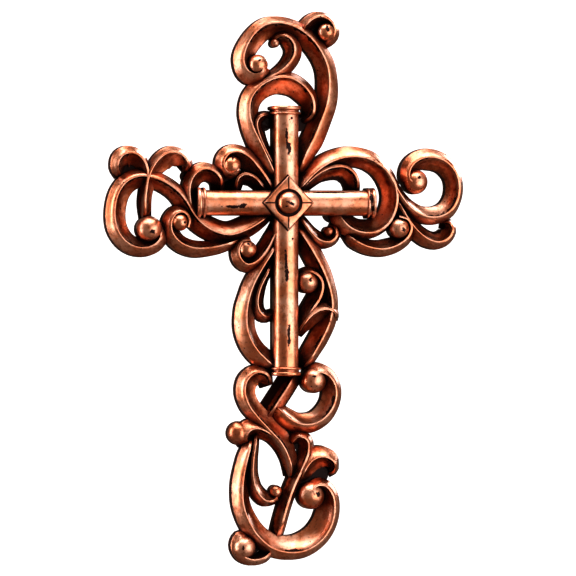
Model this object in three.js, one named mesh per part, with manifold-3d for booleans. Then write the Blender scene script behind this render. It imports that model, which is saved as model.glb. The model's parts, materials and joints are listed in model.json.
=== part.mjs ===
// A wall cross cast in resin, in the scrollwork style of wrought iron.
// Carved ribbons with a raised ridge curl into round beads, and a plain round bar
// cross with grooved collars and a diamond boss lies over them.
// The back is flat, with one keyhole in it that hangs the cross on a screw.
// Millimetres. The origin is on the back behind the boss, +Z is up, and -Y faces the room.
import * as THREE from "three";
import { mergeVertices } from "three/addons/utils/BufferGeometryUtils.js";
import Module from "manifold-3d";

// The whole cross
const crossHeight = 318;
const crossWidth = 208;

// The ribbons' section: a side wall, and a ridge that stands over both walls
const ridgeHeight = 14.4;
const wallHeight = 8.6;
const innerWall = 7.2;
const wallDraft = 0.4;

// The bar cross: round bars on straight sides, with two rings at each of the four ends
const barWidth = 14.6;
const barHeight = 18.4;
const uprightTop = 55.6;
const uprightFoot = 99;
const armReach = 51.8;
const ringRise = 1.5;
const endRing = 2.4;
const ringGroove = 0.9;
const innerRing = 1.7;
const ringEdge = 0.3;
const endBevel = 0.5;
const endRise = 0.6;
const grooveRise = 0.4;

// The diamond and the ball at the crossing
const diamondWide = 28.8;
const diamondTall = 31.4;
const diamondHeight = 21.5;
const diamondBevel = 1.3;
const diamondLine = 1.1;
const ringRadius = 7.7;
const ringDepth = 1.4;
const ringWall = 0.1;
const ballRadius = 6.4;
const ballRise = 4.4;
const ballSeat = 0.6;

// The keyhole in the back: a screw's head enters at the round end and slides up the slot
const keyholeFoot = 9;
const keyholeRise = 9;
const keyholeRadius = 4.5;
const keyholeSlot = 4.6;
const keyholeDepth = 7.5;
const keyholeLip = 2.6;

// The pad at the crossing, which rests on the wall, and how far the rest of the back clears it
const padHalf = 6.2;
const padFoot = -13.5;
const padTop = 3.6;
const padProud = 0.3;
const padThick = 2;

// How far a cut runs past the face that it opens, and a piece into the one that it joins
const overrun = 1;

// The scrolls are drawn on a sheet of small squares that counts to the right and down.
// The boss is at sheetMiddle, and the finished cross fills sheetSpan.
const sheetMiddle = [285.7, 202.5];
const sheetSpan = [356.5, 552];
const fullness = 1.2;
const squareWide = crossWidth / sheetSpan[0];
const square = crossHeight / sheetSpan[1];

// Each ribbon runs from its root to its tip along its ridge. out and in are the widths from the
// ridge to the side outside and inside the curl, in squares, spread evenly from root to tip.
// Every ribbon is fuller than that by fullness on each side.
// low and high sink or raise a ribbon that passes under or over its neighbours, and climb lifts
// its tip onto a bead, in millimetres.
const ribbons = {
  crown: {
    ridge: [[298, 174], [305, 154], [313, 138], [320, 121], [326, 104], [328.5, 86], [327, 68],
      [320.5, 52], [310, 38], [296, 28], [281, 23.5], [266, 25], [254, 34], [246, 47], [243, 60],
      [246, 69.5], [253, 74.5], [260, 73], [263.5, 67]],
    out: [7, 11, 10.5, 8.5, 6.5, 5.5, 5.5, 7.5, 10, 7],
    in: [6, 9, 9, 9, 10.5, 13, 14, 11, 6, 2],
    climb: 3,
  },
  crownCurl: {
    ridge: [[258, 84], [268, 77.5], [279, 71.5], [288, 63.5], [293.5, 54], [293, 44], [287.5, 37.5],
      [279, 37], [273.5, 42]],
    out: [3, 7, 8, 8, 6, 4, 3],
    in: [3, 3, 4.5, 6, 8, 6, 3],
  },
  crownBead: {
    ridge: [[301, 36], [304.5, 27], [310, 20.5], [318, 17], [326, 18.5], [332, 24], [334, 32],
      [330, 39], [323, 42]],
    out: [2, 4, 4, 4, 5, 6, 6],
    in: [4, 8, 8, 6, 3, 2, 2],
  },
  upperLoop: {
    ridge: [[277, 180], [268, 160], [259.5, 142], [252, 126], [249, 112], [250.5, 99], [257, 89],
      [267, 81.5], [279, 77.5], [292, 79], [303, 86], [310.5, 96], [313, 107], [310, 117], [303, 121]],
    out: [6, 10, 8, 7, 6, 5.5, 6, 5, 3],
    in: [5, 7, 9, 12, 14, 15.5, 13, 8, 5],
  },
  upperLeaf: {
    ridge: [[278, 174], [270, 158], [263.5, 145], [258.5, 132], [257, 123], [260, 117], [267, 114.5],
      [275, 115.5]],
    out: [3, 3, 3, 2.5, 2.5],
    in: [4, 6, 8, 8, 4],
    low: 2,
  },
  swag: {
    ridge: [[272, 212], [260, 221], [246, 229], [230, 234], [214, 230.5], [201, 222], [192.5, 211.5],
      [187, 202], [178, 191], [167, 183], [154, 177.5], [140, 176], [128, 181], [120, 191],
      [116, 204], [115.5, 217], [118.5, 230], [126, 240.5], [137, 246.5], [149, 246.5],
      [158, 241], [162, 232], [160, 224]],
    out: [7, 12, 12, 9, 6, 6, 6, 6, 7, 7.5, 8, 6],
    in: [5, 8, 9, 10, 9, 9, 12, 12, 11, 9, 6, 3],
  },
  hornLeft: {
    ridge: [[147, 219], [145, 203], [146.5, 187], [148, 173], [143.5, 160], [135, 153.5], [126, 154],
      [120, 160], [119, 168], [123, 176]],
    out: [2, 2, 2, 4, 5.5, 6, 5, 4],
    in: [3, 3, 3, 8, 14, 13, 9, 5],
  },
  hornRight: {
    ridge: [[146, 219], [145.5, 203], [147, 187], [151, 172], [158, 160.5], [167, 153.5], [177, 153],
      [185.5, 158.5], [188.5, 167], [184.5, 171.5]],
    out: [2, 2, 2, 3, 4, 5, 5, 5, 4],
    in: [7, 7, 9, 13, 15, 12, 8, 4],
  },
  armVoluteLeft: {
    ridge: [[242, 238], [226, 243.5], [209, 247], [193, 247], [180, 241.5], [172.5, 232],
      [171.5, 221.5], [176.5, 213], [184, 212], [189, 218.5], [187.5, 226.5]],
    out: [4, 7, 8, 7.5, 7, 6, 5, 3],
    in: [2, 5, 7, 8, 6, 3, 1],
    climb: 3.2,
  },
  hookLeft: {
    ridge: [[194, 214], [190, 199], [190, 185], [195, 174], [205, 168.5], [215, 172], [221, 180], [222, 190]],
    out: [3, 5, 5, 5.5, 5, 4, 3],
    in: [5, 8, 11, 12, 9, 7],
  },
  shoulderVolute: {
    ridge: [[276, 195.5], [268, 181.5], [259, 168.5], [249, 157], [238, 151.5], [228.5, 153.5],
      [223.5, 161.5], [225.5, 170], [233, 173], [238, 168.5]],
    out: [3, 4, 6, 6, 6, 6, 6, 5, 3],
    in: [5, 8, 11, 12, 9, 4, 2, 1],
    climb: 2.8,
  },
  shoulderHook: {
    ridge: [[270, 194], [262, 185], [254.5, 177], [246, 174], [239, 177.5], [237, 186], [237, 192]],
    out: [2, 3, 3, 3, 3, 3],
    in: [3, 6, 9, 8, 7, 5],
    low: 2,
  },
  archRight: {
    ridge: [[294, 194], [304, 183], [314, 172.5], [327, 163], [341, 157.5], [356, 156], [370, 159],
      [383, 167.5], [392, 179], [396, 193], [394.5, 208], [388, 221.5], [376, 230.5], [362, 231.5],
      [350, 227], [341, 218], [335, 206]],
    out: [4, 7, 9, 9, 8, 5, 4, 4, 4, 6, 8.5, 7],
    in: [3, 6, 8, 9, 10, 12, 12, 12, 12, 11, 8],
  },
  hookRight: {
    ridge: [[298, 194], [309, 181], [321, 171.5], [334, 166.5], [346, 167], [354.5, 174],
      [358, 184], [358, 194]],
    out: [2, 2, 2.5, 2.5, 2.5, 2.5, 2.5],
    in: [5, 8, 11, 13, 12, 10],
    low: 1.2,
  },
  endLoopRight: {
    ridge: [[366, 158], [376, 161.5], [385, 168.5], [392, 180], [400, 194], [410, 206.5], [423, 214.5],
      [437, 216], [449, 210.5], [456.5, 199], [458.5, 185], [455, 171.5], [445, 160.5], [431, 156],
      [418, 159], [409.5, 168], [408.5, 178.5], [414, 182.5]],
    out: [3, 4, 5, 6, 6, 6, 6, 5, 5, 6, 7, 7, 6, 4],
    in: [3, 4, 5, 5, 7, 9, 10, 10, 10, 11, 12, 9, 6, 3],
    climb: 3,
  },
  armVoluteRight: {
    ridge: [[346, 232], [355, 240], [368, 246], [383, 248], [397, 244], [407, 236], [410.5, 226],
      [406.5, 218.5], [398.5, 216.5]],
    out: [3, 6, 6.5, 6.5, 6, 4.5, 4, 3],
    in: [2, 5, 7, 8, 6, 3, 1, 1],
    climb: 2.5,
  },
  tailLeafRight: {
    ridge: [[395, 196], [401, 206], [408, 218], [417, 229.5], [428, 238], [439, 241], [448, 237],
      [452.5, 229], [450, 222], [443, 220.5]],
    out: [3, 5, 7, 7, 6, 5, 4, 3],
    in: [4, 6, 7, 8, 9, 9, 7, 4],
    low: 1,
  },
  underHookRight: {
    ridge: [[297, 210], [304, 222], [312, 233], [321, 240], [330, 240.5], [336, 234.5], [335.5, 227.5],
      [331, 224.5]],
    out: [3, 5, 6, 5, 4, 3],
    in: [3, 6, 8, 7, 5, 3],
    low: 1,
  },
  underVoluteLeft: {
    ridge: [[278, 222], [273, 236], [266, 249], [256.5, 260], [247, 263.5], [240, 257.5], [238.5, 248],
      [243, 241], [250, 240]],
    out: [3, 6, 7, 7, 6, 5, 4, 3],
    in: [3, 6, 7, 7, 5, 3, 2, 1],
    climb: 3.2,
  },
  bowLeft: {
    ridge: [[279, 240], [270, 254], [260, 270], [252, 286], [247.5, 302], [246, 318], [248.5, 334],
      [256, 348], [266, 358.5], [278, 368]],
    out: [3, 6, 7, 7.5, 9, 10, 10.5, 10, 7],
    in: [3, 5, 6, 8, 9, 9, 9, 10, 8],
  },
  bowLeafLeft: {
    ridge: [[274, 262], [266, 275], [260, 288], [257.5, 301], [260, 311], [267, 315.5], [276, 313]],
    out: [3, 4, 5, 5, 5, 4],
    in: [3, 5, 7, 7, 6, 4],
    low: 1.5,
  },
  bowRight: {
    ridge: [[294, 224], [303, 236], [313, 252], [322, 269], [328.5, 286], [331.5, 303], [329, 320],
      [322, 336], [313, 352], [303, 367]],
    out: [3, 7, 8.5, 8, 7, 6.5, 7, 7, 6, 5],
    in: [3, 7, 9, 9, 8, 8, 9, 10, 10, 8],
  },
  cuffCurl: {
    ridge: [[298, 333], [303, 323], [310, 314.5], [319, 309], [328, 308.5], [335, 313], [335.5, 320]],
    out: [3, 4, 5.5, 5.5, 4, 3],
    in: [5, 9, 10, 9, 6, 4],
    high: 1.5,
  },
  innerVoluteRight: {
    ridge: [[296, 330], [305, 318], [313, 306], [320, 294], [321.5, 282], [316, 273.5],
      [307, 271.5], [301, 276]],
    out: [3, 4, 4, 4, 4, 4, 3],
    in: [5, 8, 9, 8, 5, 3],
    low: 0.6,
  },
  heartLoopLeft: {
    ridge: [[292, 476], [289, 459], [281, 442], [269, 428.5], [257, 415.5], [248, 403], [244, 389.5],
      [247, 377.5], [257, 370.5], [267, 374], [271.5, 384]],
    out: [2, 3, 4, 5, 6, 6, 6, 5, 3],
    in: [6, 9, 12, 12, 11, 11, 12, 12, 10, 7],
    high: 0.8,
  },
  strapUpper: {
    ridge: [[297, 370], [288, 385], [277, 402], [266, 419]],
    out: [9, 9, 9],
    in: [10, 10, 10],
    low: 3,
  },
  curlLeft: {
    ridge: [[291, 474], [287, 456], [279, 441.5], [268, 431], [257, 426.5], [249.5, 428.5],
      [246.5, 435.5], [249, 442.5]],
    out: [2, 3, 4, 6, 9, 10, 7],
    in: [3, 4, 5, 8, 8, 5, 3],
  },
  footHoop: {
    ridge: [[253, 436], [248, 452], [244, 469], [242, 486], [243, 503], [249, 520], [258.5, 534.5],
      [272, 545.5], [288, 550], [305, 548], [319.5, 539], [329, 526], [333.5, 510], [332, 494],
      [325, 484.5], [316.5, 483.5], [312, 488.5], [314, 494]],
    out: [4, 7, 8, 8, 8, 7, 6.5, 6, 6, 6, 6, 5, 4],
    in: [3, 5, 6, 8, 10, 12, 15, 17, 17, 16, 12, 9, 5, 3],
    climb: 3.8,
  },
  footLeaf: {
    ridge: [[258, 430], [255, 445], [253, 460], [253, 475], [257, 489], [266, 498.5],
      [276, 496.5], [280, 488]],
    out: [3, 4, 4, 5, 5, 4, 3],
    in: [3, 5, 6, 7, 9, 8, 4],
    low: 1,
  },
  strapLower: {
    ridge: [[291, 443], [298, 435], [306.5, 438.5], [307.5, 450], [301, 467], [293.5, 483], [287, 501],
      [282, 518], [278, 535]],
    out: [5, 6, 6, 5.5, 5.5, 5.5, 5.5],
    in: [5, 7, 7, 6, 6, 6, 6],
    low: 0.5,
  },
  curlRight: {
    ridge: [[300, 480], [305, 467], [313, 457.5], [324, 455], [332.5, 459.5], [335, 467.5],
      [330, 472.5]],
    out: [4, 8, 10, 8, 4, 3],
    in: [6, 10, 11, 9, 6, 3],
  },
  footBead: {
    ridge: [[274.5, 546.5], [264.5, 554.5], [252.5, 557], [242.5, 553], [238, 543.5], [241.5, 535],
      [249.5, 533.5]],
    out: [3, 5, 5, 5, 5, 4],
    in: [3, 4, 3, 2, 2, 2],
  },
  loopRight: {
    ridge: [[276, 404], [286, 414.5], [299, 422], [313, 422], [325, 415], [333.5, 402], [335, 387],
      [329.5, 376], [321, 371], [314, 373.5], [313, 380]],
    out: [9, 9, 8, 7, 6, 6, 7, 10, 7],
    in: [6, 9, 10, 11, 11, 10, 7, 4],
    climb: 3.6,
  },
};

// Round beads: where each is on the sheet, its radius in squares, and how far its dome
// stands over the ribbons' ridge, in millimetres.
const beads = {
  crown: [258, 65, 10, 2.5],
  crownCurl: [275.5, 43.5, 4.5, -2],
  crownBead: [326, 32, 9, 2],
  swag: [150.5, 228.5, 13, 3],
  armVoluteLeft: [180.5, 222, 8.5, 2.5],
  shoulderVolute: [232, 165, 9, 2.5],
  endLoopRight: [416, 181, 12.5, 2],
  armVoluteRight: [399.5, 227.5, 10.5, 2.5],
  underHookRight: [329.5, 231, 5.5, -3],
  underVoluteLeft: [247.5, 248.5, 9, 2.5],
  innerVoluteRight: [307.5, 281.5, 11, 2],
  loopRight: [314, 379, 13, 2],
  footHoop: [311.5, 493.5, 14, 2],
  footBead: [244.5, 545, 11.5, 2.5],
  footLeaf: [276.5, 489.5, 6.5, -2],
  curlLeft: [240.5, 431.5, 12, -2],
};

// Low round webs that close the hollows between ribbons: place and radius on the sheet
const webs = [
  [129, 167, 9], [189, 176, 6], [227, 176, 5], [334, 213, 9], [400, 207, 7], [297, 437, 11],
  [254, 545, 7], [314, 31, 7], [266, 124, 7], [301, 124, 7], [306, 474, 9], [320, 473, 10],
];
const webHeight = 6;

// How high a ribbon stands at its blunt ends, and at a tip that lies on a bead
const bluntEnd = 0.5;
const beadEnd = 0.88;

// How finely the solid follows a curve: how far its ridge may stay off the curve, and the longest
// stretch between two stations
const stationFlat = 0.65;
const stationLength = 80;
const beadSides = 9;
const beadSkirt = 2;
const domeRings = 3;
const barArc = 7;

const wasm = await Module();
wasm.setup();

// A closed geometry as a solid that can be joined and cut.
function solid(geometry) {
  const bare = geometry.index ? geometry.toNonIndexed() : geometry.clone();
  bare.deleteAttribute("normal");
  bare.deleteAttribute("uv");
  const merged = mergeVertices(bare, 1e-4);
  return new wasm.Manifold(new wasm.Mesh({
    numProp: 3,
    vertProperties: merged.attributes.position.array,
    triVerts: new Uint32Array(merged.index.array),
  }));
}

// A point of the sheet as across and up from the boss.
function onCross([x, y]) {
  return new THREE.Vector2((x - sheetMiddle[0]) * squareWide, (sheetMiddle[1] - y) * square);
}

// The value at t from 0 to 1 in a list that is spread evenly.
function along(values, t) {
  const place = t * (values.length - 1);
  const first = Math.min(Math.floor(place), values.length - 2);
  return THREE.MathUtils.lerp(values[first], values[first + 1], place - first);
}

// A ribbon: one section of seven points at each station, joined to the next.
function ribbonSolid({ ridge, out, in: inside, low: sunk = 0, high: raised = 0, climb = 0 }) {
  const line = new THREE.CatmullRomCurve3(
    ridge.map((p) => new THREE.Vector3(...onCross(p), 0)), false, "centripetal");
  const samples = ridge.length * 12;
  const stations = [];
  let turned = 0;
  let due = 1;
  let before = null;
  for (let i = 0; i <= samples; i++) {
    const t = i / samples;
    const point = line.getPoint(t);
    const direction = line.getTangent(t);
    if (before) {
      const turn = before.direction.x * direction.y - before.direction.y * direction.x;
      turned += turn;
      const step = point.distanceTo(before.point);
      due += Math.sqrt(Math.abs(turn) * step / (8 * stationFlat)) + step / stationLength;
    }
    if (due >= 1 || i === samples) {
      stations.push({ t, point, direction });
      due = 0;
    }
    before = { point, direction };
  }
  const steps = stations.length - 1;
  const curlSide = Math.sign(turned);
  const top = ridgeHeight - sunk + raised;
  const wall = wallHeight - sunk + raised;
  const insideWall = innerWall - sunk + raised;
  const position = [];
  stations.forEach(({ t, point, direction }, i) => {
    const near = stations[Math.max(i - 1, 0)];
    const far = stations[Math.min(i + 1, steps)];
    const bend = Math.abs(near.direction.angleTo(far.direction)) / near.point.distanceTo(far.point);
    const o = (along(out, t) + fullness) * square;
    const n = Math.min((along(inside, t) + fullness) * square, 0.9 / Math.max(bend, 1e-6));
    const tip = climb > 0 ? beadEnd : bluntEnd;
    const ends = i === 0 ? bluntEnd : i === steps ? tip : 1;
    const lift = climb * THREE.MathUtils.smoothstep(t, 0.85, 1);
    const high = (top + lift) * ends;
    const low = (wall + lift) * ends;
    const inner = (insideWall + lift) * ends;
    const section = [
      [-o - wallDraft, 0], [-o, low], [-o * 0.62, low + (high - low) * 0.62], [0, high],
      [n * 0.45, inner + (high - inner) * 0.3], [n, inner], [n + wallDraft, 0],
    ];
    for (const [side, rise] of section) {
      const across = side * curlSide;
      position.push(point.x - direction.y * across, -rise, point.y + direction.x * across);
    }
  });
  const across = 7;
  const index = [];
  const quad = (a, b, c, d) => index.push(a, b, c, a, c, d);
  for (let i = 0; i < steps; i++) {
    for (let k = 0; k < across; k++) {
      const next = (k + 1) % across;
      quad(i * across + k, i * across + next, (i + 1) * across + next, (i + 1) * across + k);
    }
  }
  for (let k = 1; k < across - 1; k++) {
    index.push(0, k + 1, k);
    const last = steps * across;
    index.push(last, last + k, last + k + 1);
  }
  if (curlSide > 0) index.reverse();
  const made = new THREE.BufferGeometry();
  made.setAttribute("position", new THREE.Float32BufferAttribute(position, 3));
  made.setIndex(index);
  return solid(made);
}

// A bead: a dome on a round skirt that reaches the back.
function beadSolid([x, y, radius, over]) {
  const r = radius * square;
  const domeTop = ridgeHeight + over;
  const domeHeight = Math.min(r, domeTop - beadSkirt);
  const profile = [new THREE.Vector2(0, 0), new THREE.Vector2(r, 0)];
  for (let i = 0; i < domeRings; i++) {
    const a = (i / domeRings) * Math.PI / 2;
    profile.push(new THREE.Vector2(r * Math.cos(a), domeTop - domeHeight + domeHeight * Math.sin(a)));
  }
  profile.push(new THREE.Vector2(0, domeTop));
  const at = onCross([x, y]);
  return solid(new THREE.LatheGeometry(profile, beadSides).rotateX(Math.PI).translate(at.x, 0, at.y));
}

// A web: a low round plate.
function webSolid([x, y, radius]) {
  const at = onCross([x, y]);
  const r = radius * square;
  return solid(new THREE.CylinderGeometry(r, r, webHeight, 8).translate(at.x, -webHeight / 2, at.y));
}

// A bar of the cross along +X: [place, rise] pairs run from one end to the other, where rise
// is how far the surface stands over the plain bar.
function barSolid(stations) {
  const position = [];
  const across = barArc + 3;
  for (const [place, rise] of stations) {
    const r = barWidth / 2 + rise;
    const middle = barHeight - barWidth / 2;
    position.push(place, 0, -r);
    for (let i = 0; i <= barArc; i++) {
      const a = (i / barArc) * Math.PI;
      position.push(place, -middle - r * Math.sin(a), -r * Math.cos(a));
    }
    position.push(place, 0, r);
  }
  const index = [];
  for (let i = 0; i < stations.length - 1; i++) {
    for (let k = 0; k < across; k++) {
      const p = i * across + k;
      const q = i * across + (k + 1) % across;
      index.push(p, q + across, q, p, p + across, q + across);
    }
  }
  const last = (stations.length - 1) * across;
  for (let k = 1; k < across - 1; k++) {
    index.push(0, k, k + 1, last, last + k + 1, last + k);
  }
  const made = new THREE.BufferGeometry();
  made.setAttribute("position", new THREE.Float32BufferAttribute(position, 3));
  made.setIndex(index);
  return made;
}

// The stations of a bar with two rings at each end
function ringedBar(from, to) {
  const end = [
    [0, endRise], [endBevel, ringRise], [endRing - ringEdge, ringRise], [endRing, grooveRise],
    [endRing + ringGroove, grooveRise], [endRing + ringGroove + ringEdge, ringRise],
    [endRing + ringGroove + innerRing - ringEdge, ringRise], [endRing + ringGroove + innerRing, 0],
  ];
  const start = end.map(([place, rise]) => [from + place, rise]);
  const finish = end.map(([place, rise]) => [to - place, rise]).reverse();
  return [...start, ...finish];
}

// A plate with its outline in across and up, from back to front, with bevelled rims.
function plate(outline, back, front, bevel) {
  const shape = new THREE.Shape(outline);
  const made = new THREE.ExtrudeGeometry(shape, {
    depth: front - back - bevel * 2,
    bevelEnabled: bevel > 0,
    bevelThickness: bevel,
    bevelSize: bevel,
    bevelOffset: -bevel,
    bevelSegments: 1,
  });
  return made.rotateX(Math.PI / 2).translate(0, -back - bevel, 0);
}

const diamondOutline = [
  [diamondWide / 2, 0], [0, diamondTall / 2], [-diamondWide / 2, 0], [0, -diamondTall / 2],
];
const diamondPoints = diamondOutline.map((p) => new THREE.Vector2(...p));
const diamond = solid(plate(diamondPoints, 0, diamondHeight, diamondBevel));

// The ring groove round the ball
const grooveInside = ballRadius - ringDepth - ringWall * 2;
const grooveProfile = [
  [grooveInside, -ringDepth], [ballRadius + ringWall, -ringDepth],
  [ringRadius, overrun], [grooveInside, overrun],
];
const ringCut = new THREE.LatheGeometry(
  [...grooveProfile, grooveProfile[0]].map(([x, y]) => new THREE.Vector2(x, y)), 16,
).rotateX(Math.PI).translate(0, -diamondHeight, 0);

// The ball, a low dome that starts under the groove
const domeFoot = -ringDepth - overrun;
const domeProfile = [[0, domeFoot], [ballRadius - ringWall * 2, domeFoot]];
for (let i = 0; i < 5; i++) {
  const a = (i / 5) * Math.PI / 2;
  domeProfile.push([ballRadius * Math.cos(a), -ballSeat + (ballRise + ballSeat) * Math.sin(a)]);
}
domeProfile.push([0, ballRise]);
const ball = new THREE.LatheGeometry(
  domeProfile.map(([x, y]) => new THREE.Vector2(x, y)), 16,
).rotateX(Math.PI).translate(0, -diamondHeight, 0);

// A square rod that cuts one line from the ring to a tip of the diamond
function lineCut(reach, turn) {
  const from = ringRadius - overrun / 2;
  const made = new THREE.CylinderGeometry(diamondLine, diamondLine, reach - from, 4, 1);
  made.rotateZ(Math.PI / 2).translate((from + reach) / 2, 0, 0);
  return solid(made.rotateY(turn).translate(0, -diamondHeight - diamondLine * 0.35, 0));
}

const arms = barSolid(ringedBar(-armReach, armReach));
const upright = barSolid(ringedBar(-uprightFoot, uprightTop)).rotateY(-Math.PI / 2);

// The keyhole: a slot through the lip, and a wider channel behind it for the screw's head
function stadium(radius, foot, rise) {
  const points = [];
  for (let i = 0; i <= 8; i++) {
    const a = Math.PI + (i / 8) * Math.PI;
    points.push(new THREE.Vector2(radius * Math.cos(a), foot + radius * Math.sin(a)));
  }
  for (let i = 0; i <= 8; i++) {
    const a = (i / 8) * Math.PI;
    points.push(new THREE.Vector2(radius * Math.cos(a), foot + rise + radius * Math.sin(a)));
  }
  return points;
}
const entryDepth = keyholeLip + overrun * 2;
const entry = new THREE.CylinderGeometry(keyholeRadius, keyholeRadius, entryDepth, 16)
  .translate(0, overrun - entryDepth / 2, keyholeFoot);
const slot = plate(stadium(keyholeSlot / 2, keyholeFoot, keyholeRise), -overrun, keyholeLip + overrun, 0);
const channel = plate(stadium(keyholeRadius, keyholeFoot, keyholeRise), keyholeLip, keyholeDepth, 0);

const whole = [];
for (const ribbon of Object.values(ribbons)) whole.push(ribbonSolid(ribbon));
for (const bead of Object.values(beads)) whole.push(beadSolid(bead));
for (const web of webs) whole.push(webSolid(web));
whole.push(solid(arms), solid(upright), diamond);

let cast = whole[0];
for (const piece of whole.slice(1)) cast = cast.add(piece);
cast = cast.subtract(solid(ringCut)).add(solid(ball));
for (const [reach, turn] of [[diamondWide, 0], [diamondTall, 1], [diamondWide, 2], [diamondTall, 3]]) {
  cast = cast.subtract(lineCut(reach / 2 + overrun, turn * Math.PI / 2));
}
cast = cast.subtract(solid(entry)).subtract(solid(slot)).subtract(solid(channel));

const padMiddle = (padFoot + padTop) / 2;
const pad = new THREE.BoxGeometry(padHalf * 2, padThick, padTop - padFoot)
  .translate(0, -padThick / 2, padMiddle);
cast = cast.translate([0, -padProud, 0]).add(solid(pad));

const { vertProperties, triVerts, numProp } = cast.getMesh();
const geometry = new THREE.BufferGeometry();
geometry.setAttribute("position", new THREE.BufferAttribute(vertProperties, numProp));
geometry.setIndex(new THREE.BufferAttribute(triVerts, 1));
const material = new THREE.MeshStandardMaterial({ color: 0xb0603c, roughness: 0.35, metalness: 0.9 });
const mesh = new THREE.Mesh(geometry, material);
mesh.name = "cast_cross";
const cross = new THREE.Group();
cross.add(mesh);
export default cross;
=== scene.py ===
# %% [markdown]
# # A cast scroll cross
#
# A wall cross of cast resin in the style of wrought iron, coppered, with black worn into it.
# Carved ribbons with a sharp ridge curl into round beads, and a plain bar cross with ringed
# ends and a diamond boss lies over them. The checked solids are loaded first: they give the
# frame, the size and the flat back that the finished casting keeps.

# %% Load the frame
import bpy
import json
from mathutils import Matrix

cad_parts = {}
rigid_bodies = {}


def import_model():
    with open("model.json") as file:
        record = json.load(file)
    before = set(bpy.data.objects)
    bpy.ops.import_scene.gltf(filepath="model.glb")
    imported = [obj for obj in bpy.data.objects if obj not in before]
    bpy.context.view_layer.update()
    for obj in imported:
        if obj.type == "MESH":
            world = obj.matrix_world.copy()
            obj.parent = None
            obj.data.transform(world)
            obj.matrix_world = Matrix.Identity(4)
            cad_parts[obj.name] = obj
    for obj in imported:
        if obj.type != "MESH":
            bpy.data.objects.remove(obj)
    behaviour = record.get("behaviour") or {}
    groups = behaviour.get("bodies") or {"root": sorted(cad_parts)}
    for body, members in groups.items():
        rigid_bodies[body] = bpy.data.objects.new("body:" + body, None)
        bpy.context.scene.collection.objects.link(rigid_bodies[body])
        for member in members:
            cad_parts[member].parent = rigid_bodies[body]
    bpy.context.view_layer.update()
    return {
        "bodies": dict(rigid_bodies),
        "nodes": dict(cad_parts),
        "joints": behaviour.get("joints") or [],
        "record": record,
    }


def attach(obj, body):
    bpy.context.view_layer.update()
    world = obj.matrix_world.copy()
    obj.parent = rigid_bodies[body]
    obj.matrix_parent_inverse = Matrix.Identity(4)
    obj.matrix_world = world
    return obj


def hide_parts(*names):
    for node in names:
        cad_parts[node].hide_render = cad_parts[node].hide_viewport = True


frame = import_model()
print("the frame holds", list(frame))

# %% [markdown]
# ## Sizes
#
# Every length is a name with a real size in metres. The scrolls are drawn on a sheet of small
# squares that counts right and down, so one square turns into a length of its own.

# %% Name the sizes
import bpy
import bmesh
import json
import math
from mathutils import Vector

mm = 0.001
cross_height = 318 * mm
cross_width = 208 * mm

# The ribbons' section
ridge_height = 14.4 * mm
wall_height = 8.6 * mm
inner_wall = 7.2 * mm
wall_draft = 0.4 * mm

# The bar cross and its rings
bar_width = 14.6 * mm
bar_height = 18.4 * mm
upright_top = 55.6 * mm
upright_foot = 99 * mm
arm_reach = 51.8 * mm
ring_rise = 1.5 * mm
end_ring = 2.4 * mm
ring_groove = 0.9 * mm
inner_ring = 1.7 * mm

# The diamond and the ball
diamond_wide = 28.8 * mm
diamond_tall = 31.4 * mm
diamond_height = 21.5 * mm
diamond_bevel = 0.8 * mm
line_width = 1.1 * mm
ring_radius = 7.7 * mm
ball_radius = 6.4 * mm
ball_rise = 4.4 * mm
ball_seat = 0.8 * mm

# The keyhole in the back
keyhole_foot = 9 * mm
keyhole_rise = 9 * mm
keyhole_radius = 4.5 * mm
keyhole_slot = 4.6 * mm
keyhole_depth = 7.5 * mm
keyhole_lip = 2.6 * mm

# The pad at the crossing, which rests on the wall
pad_half = 6.2 * mm
pad_foot = -13.5 * mm
pad_top = 3.6 * mm
pad_proud = 0.3 * mm
pad_thick = 2 * mm

# How far a cut runs past the face that it opens
overrun = 1 * mm

# What is skimmed off the back to make it one flat face, and the block that does it
skim = 0.05 * mm
skim_thick = 20 * mm

# Faces and edges smaller than this are left by the uniting, and are cleaned away
sliver = 0.01 * mm

# The sheet that the scrolls are drawn on
sheet_middle = (285.7, 202.5)
sheet_span = (356.5, 552)
fullness = 1.2
square_wide = cross_width / sheet_span[0]
square = cross_height / sheet_span[1]
print("one square is", round(square / mm, 3), "mm")

# %% [markdown]
# ## The scrolls on the sheet
#
# Each ribbon runs from its root to its tip along its ridge. `out` and `in` are the widths from
# the ridge to the side outside and inside the curl, in squares, spread evenly from root to tip.
# `low` and `high` sink or lift a ribbon where it passes under or over its neighbours.

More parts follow.
